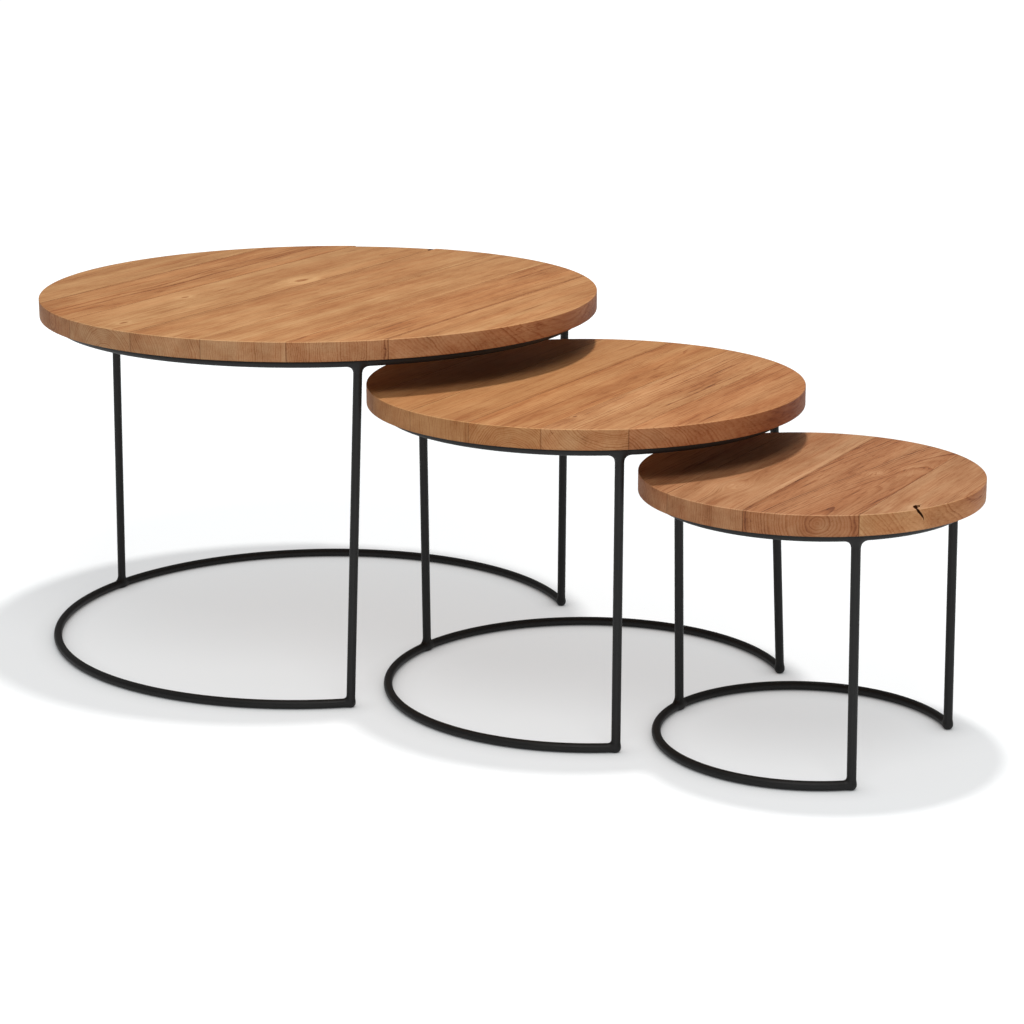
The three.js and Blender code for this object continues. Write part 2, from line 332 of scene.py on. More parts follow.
def make_wood_group():
    """Solid wood: growth rings round a pith that runs along the plank, cut where the mesh lies."""
    tree = bpy.data.node_groups.new("solid_wood", "ShaderNodeTree")
    for way, sockets in (("INPUT", GROUP_INPUTS), ("OUTPUT", GROUP_OUTPUTS)):
        for name, kind in sockets:
            tree.interface.new_socket(name, in_out=way, socket_type="NodeSocket" + kind)
    g = Graph(tree)
    given = g.node("NodeGroupInput").outputs
    place = g.node("ShaderNodeTexCoord").outputs["Object"]
    local = g.vector("SUBTRACT", g.vector("MULTIPLY", place, (1000, 1000, 1000)), given["Centre"])
    along = g.vector("DOT_PRODUCT", local, (*ALONG, 0))
    straight = g.vector("DOT_PRODUCT", local, (*ACROSS, 0))
    height = g.separate(local)[2]
    shift = g.times(given["Seed"], 37.7)

    def stretched(length, width, detail, roughness, offset):
        """Noise whose grains are length mm long along the plank and width mm wide."""
        return g.noise(
            g.combine(
                g.add(g.times(along, 1.0 / length), shift),
                g.add(g.times(across, 1.0 / width), offset),
                g.times(height, 1.0 / width),
            ),
            detail,
            roughness,
        )

    across, knots = straight, 0.0
    for letter in "ABC":
        across, dark = bend_round_knot(g, along, across, given[f"Knot {letter}"])
        knots = g.add(knots, dark)

    pith_across, pith_height, spacing = g.separate(given["Pith"])
    drift_across, drift_height, wander = g.separate(given["Drift"])
    sway = g.centred(g.noise(g.combine(g.times(along, 0.0042), shift, 0.0), 1.0))
    heave = g.centred(g.noise(g.combine(g.times(along, 0.0031), shift, 7.0), 1.0))
    off_across = g.minus(
        across,
        g.add(pith_across, g.times(along, drift_across), g.times(sway, wander, 2.0)),
    )
    off_height = g.minus(
        height,
        g.add(pith_height, g.times(along, drift_height), g.times(heave, wander)),
    )
    radius = g.math("SQRT", g.add(g.square(off_across), g.square(off_height)))
    wavy = g.add(
        radius,
        g.times(g.centred(stretched(*RING_WAVES)), 7.0),
        g.times(g.centred(stretched(*RING_RIPPLES)), 0.8),
    )
    uneven = g.times(g.noise(g.combine(g.times(wavy, 0.09), shift, 3.0), 1.0), 2.6)
    phase = g.add(g.math("DIVIDE", wavy, spacing), uneven)
    ring = g.math("FRACT", phase)
    which = g.random(g.add(g.math("FLOOR", phase), shift))
    strength = g.add(0.18, g.times(g.square(g.square(which)), 0.95))
    late = g.times(g.smooth(ring, 0.35, 0.88), g.smooth(ring, 1.0, 0.93))
    rim, end, edge, split = (
        g.node("ShaderNodeAttribute", attribute_name=name).outputs["Fac"] for name in FACE_MARKS
    )
    low, high, lively = g.separate(given["Span"])
    to_seam = g.math("MINIMUM", g.minus(straight, low), g.minus(high, straight))
    seam = g.times(g.smooth(to_seam, 0.8, 0.1), g.add(0.16, g.times(rim, 0.34)))
    clouds = g.centred(g.noise(g.vector("MULTIPLY", local, (0.04, 0.04, 0.055)), 3.0, 0.6))

    broad, patches, streaks, fine = (
        g.centred(stretched(*grains)) for grains in (BROAD, PATCHES, STREAKS, FINE)
    )
    dashes = g.smooth(stretched(*DASHES), 0.59, 0.66)
    pores = g.smooth(stretched(*PORES), 0.60, 0.72)
    ridge = g.math("ABSOLUTE", g.centred(stretched(*VEINS)))
    fading = g.smooth(stretched(*VEIN_FADING), 0.48, 0.66)
    veins = g.times(g.smooth(ridge, 0.014, 0.0), fading)
    on_face = g.times(late, strength, 0.30)
    on_end = g.times(late, g.add(0.07, g.times(which, 0.17)))
    rings = g.add(g.times(on_face, g.minus(1.0, end), given["Lines"]), g.times(on_end, end))

    tone = g.add(
        given["Tone"],
        g.times(
            g.add(g.times(broad, 0.70), g.times(streaks, 0.42), g.times(patches, 0.56),
                  g.times(fine, 0.46), g.times(veins, given["Lines"], 0.30)),
            g.minus(1.0, g.times(end, 0.62)),
            lively,
        ),
        g.times(clouds, end, 0.42),
        g.times(
            dashes,
            g.minus(1.0, g.times(end, 0.7)),
            g.add(0.09, g.times(given["Lines"], 0.07)),
        ),
        rings,
        g.times(pores, 0.07),
        knots,
    )
    for letter in "AB":
        middle, half, amount = g.separate(given[f"Band {letter}"])
        start, stop, fade = g.separate(given[f"Run {letter}"])
        inside = g.math("MINIMUM", g.minus(along, start), g.minus(stop, along))
        amount = g.times(amount, g.smooth(g.math("DIVIDE", inside, fade), 0.0, 1.0))
        wave = g.times(g.centred(stretched(*BAND_WAVES)), 5.0)
        reach = g.math("DIVIDE", g.minus(g.add(straight, wave), middle), half)
        tone = g.add(tone, g.times(g.math("EXPONENT", g.times(g.square(reach), -1.0)), amount))
    # The edge mark paints light into the eased edges: a painted highlight where they face the front,
    # painted shade where they face the back.
    tone = g.add(tone, g.times(end, 0.08), g.times(edge, -0.32))
    colour = g.ramp(tone, WOOD_STOPS)
    warmth = g.add(given["Red"], g.times(g.centred(stretched(*WARMTH)), 1.3))
    colour = g.mix(g.smooth(warmth, 0.0, 1.0), colour, REDDENED, "MULTIPLY")
    colour = g.mix(1.0, colour, given["Cast"], "MULTIPLY")
    side = g.mix(end, RIM_LONG_GRAIN, RIM_END_GRAIN)
    side = g.mix(1.0, side, given["Rim Cast"], "MULTIPLY")
    colour = g.mix(rim, colour, side, "MULTIPLY")
    colour = g.mix(seam, colour, SEAM_SHADE, "MULTIPLY")
    # Painted shade inside the cracks, where the split mark is set.
    colour = g.mix(split, colour, CRACK_PAINTED_SHADE, "MULTIPLY")
    rough = g.add(0.55, g.times(fine, 0.10), g.times(pores, 0.12), g.times(end, 0.12),
                  g.times(patches, 0.10))
    relief = g.add(
        g.times(pores, -0.7), g.times(late, strength, -0.35), g.times(fine, 0.8),
        g.times(knots, -0.8),
    )
    out = g.node("NodeGroupOutput").inputs
    g.feed(out["Color"], colour)
    g.feed(out["Roughness"], rough)
    g.feed(out["Height"], relief)
    return tree


def make_wood(name, group, layout, span, look):
    """One plank's own wood. The span holds the plank's edges, across."""
    material, g, shader = new_material(name)
    inside = g.node("ShaderNodeGroup", node_tree=group)
    values = {
        "Centre": (layout.centre[0] / MM, layout.centre[1] / MM, layout.top / MM),
        "Seed": look["seed"],
        "Pith": look["pith"],
        "Drift": look.get("drift", (0.0, 0.0, 10.0)),
        "Tone": look["tone"],
        "Red": look.get("red", 0.4),
        "Cast": (*look.get("cast", CASTS[layout.table]), 1.0),
        "Rim Cast": (*look.get("rim_cast", RIM_CASTS[layout.table]), 1.0),
        "Lines": look.get("lines", 1.0),
        "Span": (span[0] / MM, span[1] / MM, look.get("lively", 1.0)),
    }
    for letter in "ABC":
        values[f"Knot {letter}"] = look.get(f"knot_{letter.lower()}", (FAR_OFF, FAR_OFF, 1.0))
    for letter in "AB":
        values[f"Band {letter}"] = look.get(f"band_{letter.lower()}", (FAR_OFF, 1.0, 0.0))
        values[f"Run {letter}"] = look.get(f"run_{letter.lower()}", (-FAR_OFF, FAR_OFF, 1.0))
    for key, value in values.items():
        inside.inputs[key].default_value = value
    g.feed(shader.inputs["Base Color"], inside.outputs["Color"])
    g.feed(shader.inputs["Roughness"], inside.outputs["Roughness"])
    g.feed(shader.inputs["Normal"], g.bump(inside.outputs["Height"], 0.00012, 0.5))
    shader.inputs["Specular IOR Level"].default_value = 0.10
    return material


# How the colour of each table's wood departs from the common scale, and that of its rim.
CASTS = {"large": (1.03, 1.07, 1.12), "medium": (1.01, 0.97, 0.95), "small": (0.96, 1.02, 1.24)}
RIM_CASTS = {"large": (1.02, 1.02, 1.0), "medium": (1.06, 1.03, 0.90), "small": (1.03, 0.95, 0.80)}
# Each plank's cut: where its pith lies (mm across from the table's centre, mm over the top
# face, ring spacing), how dark and red it is, and its knots and bands. Sizes are in mm.
PLANK_LOOKS = {
    "large": (
        {"pith": (-450, -50, 4.2), "tone": 0.27, "red": 0.30},
        {"pith": (-224, -7, 4.4), "drift": (0.0, 0.012, 16), "tone": 0.35, "red": 0.60,
         "lines": 1.2},
        {"pith": (-83, -32, 3.0), "drift": (0.01, 0.03, 10), "tone": 0.27, "red": 0.30,
         "knot_a": (49, -64, 9.5), "knot_b": (-148, -131, 5.0), "knot_c": (-347, -88, 5.0)},
        {"pith": (-150, -75, 3.2), "tone": 0.31, "red": 0.40,
         "band_a": (-36, 16, 0.10)},
        {"pith": (-200, -12, 2.4), "tone": 0.30, "red": 0.35, "lines": 0.9,
         "band_a": (178, 1.6, -0.16), "band_b": (147, 1.2, 0.20), "run_b": (-160, 190, 80)},
        {"pith": (40, -18, 2.4), "tone": 0.35, "red": 0.60, "lines": 1.5,
         "band_a": (284, 2.0, 0.14)},
        {"pith": (215, -80, 3.2), "tone": 0.30, "red": 0.45},
    ),
    "medium": (
        {"pith": (-330, -50, 3.4), "tone": 0.31, "red": 0.30, "lively": 0.75},
        {"pith": (-20, -40, 2.8), "tone": 0.29, "red": 0.20, "lively": 0.7},
        {"pith": (-190, -22, 2.8), "tone": 0.27, "red": 0.10, "lively": 0.7,
         "band_a": (-16, 2.6, 0.22), "band_b": (-34, 8, 0.14), "run_b": (-330, -190, 50)},
        {"pith": (46, -36, 2.8), "drift": (0.0, 0.02, 8), "tone": 0.32, "red": 0.40,
         "band_a": (-6, 6, 0.16), "run_a": (-330, -90, 90)},
        {"pith": (165, 34, 2.8), "drift": (0.0, 0.0, 8), "tone": 0.28, "red": 0.40,
         "cast": (1.04, 1.06, 1.14), "lines": 1.5, "knot_a": (-203, 90, 3.2), "band_a": (150, 16, 0.12),
         "run_a": (-60, 160, 90)},
        {"pith": (110, -85, 3.2), "tone": 0.34, "red": 0.70,
         "cast": (1.03, 1.04, 1.12), "rim_cast": (0.96, 0.92, 0.84)},
    ),
    "small": (
        {"pith": (-260, -60, 3.2), "tone": 0.37, "red": 0.60},
        {"pith": (-250, -10, 2.4), "tone": 0.33, "red": 0.50,
         "knot_a": (-112, -54, -10.0), "band_a": (-2.5, 3.4, -0.26), "run_a": (-150, 260, 120),
         "band_b": (-42, 5, 0.20), "run_b": (-260, -150, 60)},
        {"pith": (112, -27, 3.6), "drift": (0.10, -0.09, 9), "tone": 0.37,
         "red": 0.80, "lines": 1.6, "lively": 0.8, "band_a": (6.5, 3.0, 0.18),
         "band_b": (130, 2.2, 0.26), "run_b": (-230, -30, 90), "knot_a": (72, 121, -7.0),
         "knot_b": (28, 78, -5.0)},
        {"pith": (60, -70, 3.6), "tone": 0.34, "red": 0.50,
         "rim_cast": (1.28, 1.28, 1.02), "knot_a": (-107, 180, 4.0)},
    ),
}


# -------------------- steel


STEEL_SHADES = ((0.25, (0.0055, 0.0054, 0.0053)), (0.75, (0.0120, 0.0116, 0.0112)))
ZINC_SHADES = ((0.3, (0.42, 0.41, 0.37)), (0.7, (0.60, 0.61, 0.62)))


def make_steel():
    """Black powder coat: a fine orange peel, slightly uneven in sheen."""
    material, g, shader = new_material("powder_coat")
    place = g.node("ShaderNodeTexCoord").outputs["Object"]
    peel = g.noise(place, 2.0, 0.55, 900.0)
    grit = g.noise(place, 1.0, 0.5, 2600.0)
    cloud = g.noise(place, 3.0, 0.6, 22.0)
    tone = g.add(g.times(cloud, 0.7), g.times(grit, 0.3))
    g.feed(shader.inputs["Base Color"], g.ramp(tone, STEEL_SHADES))
    g.feed(shader.inputs["Roughness"], g.add(0.43, g.times(cloud, 0.16), g.times(grit, 0.06)))
    relief = g.add(g.times(peel, 0.8), g.times(grit, 0.2))
    g.feed(shader.inputs["Normal"], g.bump(relief, 0.00025, 0.45))
    shader.inputs["Specular IOR Level"].default_value = 0.29
    return material


def make_zinc():
    """Bright zinc plate on the screws, with a faint yellow cloud."""
    material, g, shader = new_material("zinc_plate")
    place = g.node("ShaderNodeTexCoord").outputs["Object"]
    cloud = g.noise(place, 3.0, 0.6, 350.0)
    scuff = g.noise(g.vector("MULTIPLY", place, (1.0, 1.0, 6.0)), 2.0, 0.6, 1500.0)
    g.feed(shader.inputs["Base Color"], g.ramp(cloud, ZINC_SHADES))
    g.feed(shader.inputs["Roughness"], g.add(0.24, g.times(scuff, 0.25)))
    g.feed(shader.inputs["Normal"], g.bump(scuff, 0.00005, 0.4))
    shader.inputs["Metallic"].default_value = 1.0
    return material


def make_floor():
    """The plain pale studio floor, lit from within enough to keep its shadows light."""
    material, g, shader = new_material("studio_floor")
    place = g.node("ShaderNodeTexCoord").outputs["Object"]
    cloud = g.noise(place, 2.0, 0.5, 1.5)
    g.feed(shader.inputs["Base Color"], g.ramp(cloud, FLOOR_SHADES))
    away = g.vector("LENGTH", place)
    glow = g.smooth(away, FLOOR_GLOW_START, FLOOR_GLOW_STOP, FLOOR_GLOW_NEAR, FLOOR_GLOW_FAR)
    nearby = g.node("ShaderNodeAmbientOcclusion", samples=6)
    nearby.inputs["Distance"].default_value = CONTACT_REACH
    g.feed(shader.inputs["Emission Strength"], g.times(glow, nearby.outputs["AO"]))
    shader.inputs["Emission Color"].default_value = FLOOR_GLOW_COLOUR
    shader.inputs["Roughness"].default_value = 0.9
    shader.inputs["Specular IOR Level"].default_value = 0.0
    mesh = bpy.data.meshes.new("floor")
    half = FLOOR_SIZE / 2
    corners = [(-half, -half, 0), (half, -half, 0), (half, half, 0), (-half, half, 0)]
    mesh.from_pydata(corners, [], [(0, 1, 2, 3)])
    floor = add_object("floor", mesh)
    floor.location.z = -FLOOR_DROP
    mesh.materials.append(material)


# -------------------- reading the frame


def node_points(name):
    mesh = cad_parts[name].data
    flat = np.empty(len(mesh.vertices) * 3, np.float32)
    mesh.vertices.foreach_get("co", flat)
    return flat.reshape(-1, 3).astype(float)


def nodes_of(table, part):
    return sorted(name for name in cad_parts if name.startswith(f"{table}_{part}"))


def middle_of(points):
    return (points.min(0) + points.max(0)) / 2


class Layout:
    """Where one table's parts lie in the frame."""

    def __init__(self, table):
        self.table = table
        self.body = f"{table}_table"
        self.planks = nodes_of(table, "top_plank")
        top = np.concatenate([node_points(name) for name in self.planks])
        self.centre = middle_of(top)[:2]
        self.radius = (top[:, 0].max() - top[:, 0].min()) / 2
        self.top, self.underside = top[:, 2].max(), top[:, 2].min()
        ring = node_points(f"{table}_upper_ring")
        reach = np.hypot(*(ring[:, :2] - self.centre).T)
        self.ring_radius = (reach.max() + reach.min()) / 2
        self.ring_height = middle_of(ring)[2]
        self.floor_centre, self.floor_radius = self.fit_floor_ring()
        self.legs = {side: self.leg_line(side) for side in ("left", "front", "right")}

    def fit_floor_ring(self):
        plan = node_points(f"{self.table}_floor_ring")[:, :2]
        rows = np.column_stack([2 * plan, np.ones(len(plan))])
        x, y, rest = np.linalg.lstsq(rows, (plan**2).sum(1), rcond=None)[0]
        return np.array([x, y]), math.sqrt(rest + x * x + y * y)

    def leg_line(self, side):
        """The leg's axis: a point at the floor ring's height and one at the upper ring's."""
        points = node_points(f"{self.table}_leg_{side}")
        halfway = middle_of(points)[2]
        low = middle_of(points[points[:, 2] < halfway])
        high = middle_of(points[points[:, 2] >= halfway])
        slope = (high - low) / (high[2] - low[2])
        foot = low + slope * (BAR - low[2])
        head = high + slope * (self.ring_height - high[2])
        return foot, head

    def floor_angle(self, side):
        offset = self.legs[side][0][:2] - self.floor_centre
        return math.atan2(offset[1], offset[0])


# -------------------- meshes


def solid_mesh(name, points, faces):
    """A closed mesh, its faces all turned outwards."""
    mesh = bpy.data.meshes.new(name)
    mesh.from_pydata([tuple(p) for p in points], [], faces)
    mesh.validate()
    shell = bmesh.new()
    shell.from_mesh(mesh)
    bmesh.ops.recalc_face_normals(shell, faces=shell.faces)
    shell.to_mesh(mesh)
    shell.free()
    return mesh


def build_mesh(name, points, faces, material, smooth_angle=40):
    """A shaded piece; edges sharper than smooth_angle degrees stay crisp."""
    mesh = solid_mesh(name, points, faces)
    mesh.materials.append(material)
    mesh.shade_smooth()
    mesh.set_sharp_from_angle(angle=math.radians(smooth_angle))
    return add_object(name, mesh)


def stack_faces(levels, count):
    """Quads between stacked loops of count points, with both ends closed."""
    faces = []
    for level in range(levels - 1):
        base = level * count
        for k in range(count):
            n = (k + 1) % count
            faces.append((base + k, base + n, base + count + n, base + count + k))
    faces.append(tuple(reversed(range(count))))
    faces.append(tuple(range((levels - 1) * count, levels * count)))
    return faces


def subtract(piece, cutter):
    """Cuts the cutter's solid out of the piece and removes the cutter."""
    cut = piece.modifiers.new("cut", "BOOLEAN")
    cut.operation = "DIFFERENCE"
    cut.solver = "EXACT"
    cut.use_self = True
    cut.object = cutter
    graph = bpy.context.evaluated_depsgraph_get()
    result = bpy.data.meshes.new_from_object(piece.evaluated_get(graph))
    piece.modifiers.clear()
    piece.data = result
    bpy.data.objects.remove(cutter)


def finish_piece(piece, node, body):
    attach(piece, body)
    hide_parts(node)


# -------------------- cracks in the wood


LIP_RISE = 1.5 * MM     # how far the cutter stands out of the wood
LIP_FLARE = 1.3         # and how much wider it is there
EDGE_TURN = 4.0         # mm round the top edge in which the way out turns from up to outwards


class Split:
    """An open crack: points on the wood's skin, each with its way out, its width and its depth."""

    def __init__(self, layout, places):
        self.points, self.outward, self.widths, self.depths = [], [], [], []
        for angle, inset, drop, width, depth in places:
            turn = math.radians(angle)
            radial = np.array([math.cos(turn), math.sin(turn), 0.0])
            reach = layout.radius - inset * MM
            flat = np.array([*layout.centre, layout.top - drop * MM])
            share = min(1.0, max(0.0, 0.5 + (drop - inset) / EDGE_TURN))
            outward = share * radial + (1 - share) * np.array([0.0, 0.0, 1.0])
            self.points.append(flat + reach * radial)
            self.outward.append(outward / np.linalg.norm(outward))
            self.widths.append(width * MM)
            self.depths.append(depth * MM)

    def cutter(self, name):
        """The wedge-shaped solid that the crack takes out."""
        rings = []
        last = len(self.points) - 1
        for k, point in enumerate(self.points):
            run = self.points[min(k + 1, last)] - self.points[max(k - 1, 0)]
            out = self.outward[k]
            side = np.cross(run, out)
            side /= np.linalg.norm(side)
            half = self.widths[k] / 2 * LIP_FLARE
            lip = point + out * LIP_RISE
            rings.append([lip - side * half, lip + side * half, point - out * self.depths[k]])
        corners = [corner for ring in rings for corner in ring]
        return add_object(name, solid_mesh(name, corners, stack_faces(len(rings), 3)))


# Degrees round the rim, mm in from the rim, mm down from the top, width and depth in mm.
SPLITS = {
    "small_top_plank_4": (
        ((303.8, 15.5, 0.0, 1.0, 3), (302.3, 14.6, 0.0, 3.6, 7), (300.9, 11.0, 0.0, 6.4, 9),
         (299.6, 7.0, 0.0, 3.4, 9), (299.0, 4.6, 0.0, 1.0, 6)),
        ((302.0, 17.2, 0.0, 0.6, 3), (300.4, 14.6, 0.0, 2.8, 8), (299.3, 8.0, 0.0, 2.9, 9),
         (298.7, 1.0, 0.8, 2.9, 9), (299.3, 0.0, 3.2, 2.7, 9), (300.0, 0.0, 6.0, 2.6, 9),
         (300.7, 0.0, 9.3, 2.3, 8), (301.2, 0.0, 12.4, 1.3, 5), (301.4, 0.0, 15.5, 0.2, 1)),
    ),
    "large_top_plank_3": (
        ((66.4, 15.4, 0.0, 8.0, 7), (66.8, 14.6, 0.0, 12.4, 9), (67.4, 14.6, 0.0, 12.4, 9),
         (67.9, 14.8, 0.0, 5.0, 4)),
    ),
}


def cut_splits(piece, node, layout):
    for number, places in enumerate(SPLITS.get(node, ())):
        cutter = Split(layout, places).cutter(f"{node}_split_{number}")
        subtract(piece, cutter)


# -------------------- tabletops

RIM_ROUNDING = 1.4 * MM
ROUNDING_STEPS = 5
SEAM_ARRIS = 0.25 * MM
ARC_STEP = 3 * MM
ARC_OVER_WIDTH = 1.3    # a plank's end is an arc, longer than the plank is wide
ARC_LEAST = 8
EDGE_SLIVER = 2 * MM    # a plank that reaches this close to the circle has no seam on that side
# Planks whose far end stops short of the circle, and by how much.
SHORT_ENDS = {"large_top_plank_3": 6.0 * MM}


def plank_levels(top, underside):
    """Heights from the underside up, with how far the rim and the seam edges step in there."""
    turn = [math.pi / 2 * k / ROUNDING_STEPS for k in range(ROUNDING_STEPS + 1)]
    upper = []
    for angle in turn:
        step = RIM_ROUNDING * (1 - math.cos(angle))
        arris = SEAM_ARRIS if angle == turn[-1] else 0.0
        upper.append((top - RIM_ROUNDING * (1 - math.sin(angle)), step, arris))
    lower = [(underside + top - z, step, arris) for z, step, arris in reversed(upper)]
    return lower + upper


def plank_outline(radius_far, radius_near, low, high, counts):
    """The plank's outline as (along, across) points; a missing low or high side is None."""
    def arc(radius, start, end, count):
        angles = np.linspace(start, end, count)
        return np.column_stack([radius * np.cos(angles), radius * np.sin(angles)])

    def angle(radius, edge):
        return math.asin(max(-1.0, min(1.0, edge / radius)))

    if high is None:
        start = angle(radius_far, low)
        return arc(radius_far, start, math.pi - start, counts)
    if low is None:
        start = angle(radius_far, high)
        return arc(radius_far, math.pi - start, 2 * math.pi + start, counts)
    far = arc(radius_far, angle(radius_far, low), angle(radius_far, high), counts)
    start, end = angle(radius_near, high), angle(radius_near, low)
    near = arc(radius_near, math.pi - start, math.pi - end, counts)
    return np.concatenate([far, near])


def make_plank(layout, node, group, look):
    """A plank of the round top, its rim eased top and bottom."""
    across = (node_points(node)[:, :2] - layout.centre) @ ACROSS
    low, high = across.min(), across.max()
    edge = layout.radius - EDGE_SLIVER
    low = None if low < -edge else low
    high = None if high > edge else high
    span = (-edge * 2 if low is None else low, edge * 2 if high is None else high)
    material = make_wood(node + "_wood", group, layout, span, look)
    short = SHORT_ENDS.get(node, 0.0)
    length = (layout.radius * 2 if None in (low, high) else abs(high - low)) * ARC_OVER_WIDTH
    counts = int(length / ARC_STEP) + ARC_LEAST
    points = []
    levels = plank_levels(layout.top, layout.underside)
    for z, step, arris in levels:
        loop = plank_outline(
            layout.radius - short - step,
            layout.radius - step,
            None if low is None else low + arris,
            None if high is None else high - arris,
            counts,
        )
        plan = layout.centre + loop[:, :1] * ALONG + loop[:, 1:] * ACROSS
        points.append(np.column_stack([plan, np.full(len(plan), z)]))
    count = len(points[0])
    faces = stack_faces(len(levels), count)
    piece = build_mesh(node + "_wood", np.concatenate(points), faces, material)
    cut_splits(piece, node, layout)
    mark_faces(piece, layout)
    finish_piece(piece, node, layout.body)
    return piece


SQUARE_ON = 0.97         # cosines that tell how a face lies
OUTWARD = 0.995
EDGE_LOWEST = 0.25
# Where an eased edge turns from painted highlight, facing the front, to painted shade, facing the back.
EDGE_PAINTED_LIGHT_BIAS = 0.15


def mark_faces(piece, layout):
    """Marks each corner: rim, squareness to the grain, eased edge (painted highlight at the front,
    painted shade at the back), crack (painted shade inside).
    """
    mesh = piece.data
    grain, across = Vector((*ALONG, 0)), Vector((*ACROSS, 0))
    rows = []
    for face in mesh.polygons:
        normal = face.normal
        level = Vector((*normal.xy, 0)).normalized()
        radial = Vector((*(face.center.xy - Vector(layout.centre)), 0)).normalized()
        outward = level.dot(radial) > OUTWARD
        eased = EDGE_LOWEST < normal.z < SQUARE_ON and outward
        plain = abs(normal.z) > SQUARE_ON or abs(normal.dot(across)) > SQUARE_ON
        marks = (
            1 - abs(normal.z),
            abs(normal.dot(grain)),
            # edge: painted highlight on eased edges facing the front, painted shade on those facing the
            # back
            EDGE_PAINTED_LIGHT_BIAS - level.y if eased else 0.0,
            # split: painted shade on the faces inside a crack
            0.0 if plain or outward else 1.0,
        )
        rows += [marks] * face.loop_total
    for name, values in zip(FACE_MARKS, np.array(rows).T):
        layer = mesh.attributes.new(name, "FLOAT", "CORNER")
        layer.data.foreach_set("value", values.astype(np.float32))


# -------------------- steel frames

BAR_SIDES = 28
COARSE_STEP = 9 * MM
FINE_STEP = 0.8 * MM
WELD_REACH = 22 * MM
WELD_BLEND = 10 * MM
LEFT_FOOT_BLEND = 8 * MM
TUCK = 0.12 * MM         # how far a fillet's skin dips under the other bar's
HIDDEN = 0.5 * MM        # skin this deep in the other bar needs no fillet
BISECTIONS = 18
FOOT_STEPS = 8


class Hoop:
    """A round bar bent to a circle or an arc, lying level."""

    def __init__(self, centre, radius, height, start=0.0, end=2 * math.pi):
        self.centre, self.radius, self.height = np.array(centre), radius, height
        self.start, self.end = start, end
        self.closed = end - start > 2 * math.pi - 1e-6
        self.length = radius * (end - start)

    def at(self, station):
        angle = self.start + station / self.radius
        out = np.array([math.cos(angle), math.sin(angle), 0.0])
        axis = np.array([*self.centre, self.height]) + self.radius * out
        return axis, out, np.array([0.0, 0.0, 1.0])

    def station_of(self, point):
        offset = point[:2] - self.centre
        return ((math.atan2(offset[1], offset[0]) - self.start) % (2 * math.pi)) * self.radius

    def distance(self, points):
        offset = points[:, :2] - self.centre
        gap = np.hypot(np.hypot(offset[:, 0], offset[:, 1]) - self.radius, points[:, 2] - self.height)
        if not self.closed:
            turn = (np.arctan2(offset[:, 1], offset[:, 0]) - self.start) % (2 * math.pi)
            beyond = turn > self.end - self.start
            ends = [self.at(s)[0] for s in (0.0, self.length)]
            past = np.minimum(*[np.linalg.norm(points - e, axis=1) for e in ends])
            gap = np.where(beyond, past, gap)
        return gap - BAR


class Post:
    """A straight round bar between two points, with a round lower end."""

    closed = False

    def __init__(self, foot, head):
        self.foot, self.head = np.array(foot), np.array(head)
        self.length = np.linalg.norm(self.head - self.foot)
        self.way = (self.head - self.foot) / self.length
        self.side = np.cross(self.way, (1.0, 0.0, 0.0))
        self.side /= np.linalg.norm(self.side)
        self.other = np.cross(self.way, self.side)

    def at(self, station):
        return self.foot + self.way * station, self.side, self.other

    def station_of(self, point):
        return float(np.clip((point - self.foot) @ self.way, 0, self.length))

    def distance(self, points):
        along = np.clip((points - self.foot) @ self.way, 0, self.length)
        return np.linalg.norm(points - self.foot - along[:, None] * self.way, axis=1) - BAR


def stations_for(bar, welds):
    """Where the bar gets a ring of points: closely spaced near a weld, widely elsewhere."""
    places, here = [0.0], 0.0
    while here < bar.length:
        gap = min((abs(here - w) for w in near_welds(bar, welds)), default=1.0)
        here += FINE_STEP if gap < WELD_REACH else min(COARSE_STEP, gap - WELD_REACH + FINE_STEP)
        places.append(here)
    places[-1] = bar.length
    if bar.closed:
        places.pop()
    return places


def near_welds(bar, welds):
    turns = (-bar.length, 0.0, bar.length) if bar.closed else (0.0,)
    return [w + turn for w in welds for turn in turns]


def weld_out(bar, others, axis, normals):
    """How far each point of a ring moves out to lie on the weld's fillet."""
    reach = np.zeros(len(normals))
    for other, blend in others:
        bare = axis + BAR * normals
        if other.distance(bare).min() > blend:
            continue
        low, high = np.zeros(len(normals)), np.full(len(normals), blend)
        for _ in range(BISECTIONS):
            tried = (low + high) / 2
            points = axis + (BAR + tried)[:, None] * normals
            mine, its = bar.distance(points), other.distance(points)
            share = np.maximum(blend - np.abs(mine - its), 0) / blend
            merged = np.minimum(mine, its) - share**2 * blend / 4
            inside = merged < 0
            low, high = np.where(inside, tried, low), np.where(inside, high, tried)
        points = axis + (BAR + low)[:, None] * normals
        its = other.distance(points)
        hidden = other.distance(bare) < -HIDDEN
        tuck = np.where(low > its, TUCK, 0.0)
        reach = np.maximum(reach, np.where(hidden, 0.0, np.maximum(low - tuck, 0.0)))
    return reach


def make_bar(name, bar, others, welds, material):
    """A round bar whose skin swells into the fillets of its welds."""
    turn = np.linspace(0, 2 * math.pi, BAR_SIDES, endpoint=False)
    rings = []
    for station in stations_for(bar, welds):
        axis, side, up = bar.at(station)
        normals = np.outer(np.cos(turn), side) + np.outer(np.sin(turn), up)
        out = weld_out(bar, others, axis, normals)
        rings.append(axis + (BAR + out)[:, None] * normals)
    if isinstance(bar, Post):
        rings = round_foot(bar, turn, others) + rings
    points = np.concatenate(rings)
    points[:, 2] = np.maximum(points[:, 2], 0.0)
    faces = stack_faces(len(rings), BAR_SIDES)
    if bar.closed:
        faces = faces[:-2]
        last = (len(rings) - 1) * BAR_SIDES
        for k in range(BAR_SIDES):
            n = (k + 1) % BAR_SIDES
            faces.append((last + k, last + n, n, k))
    return build_mesh(name, points, faces, material, 60)


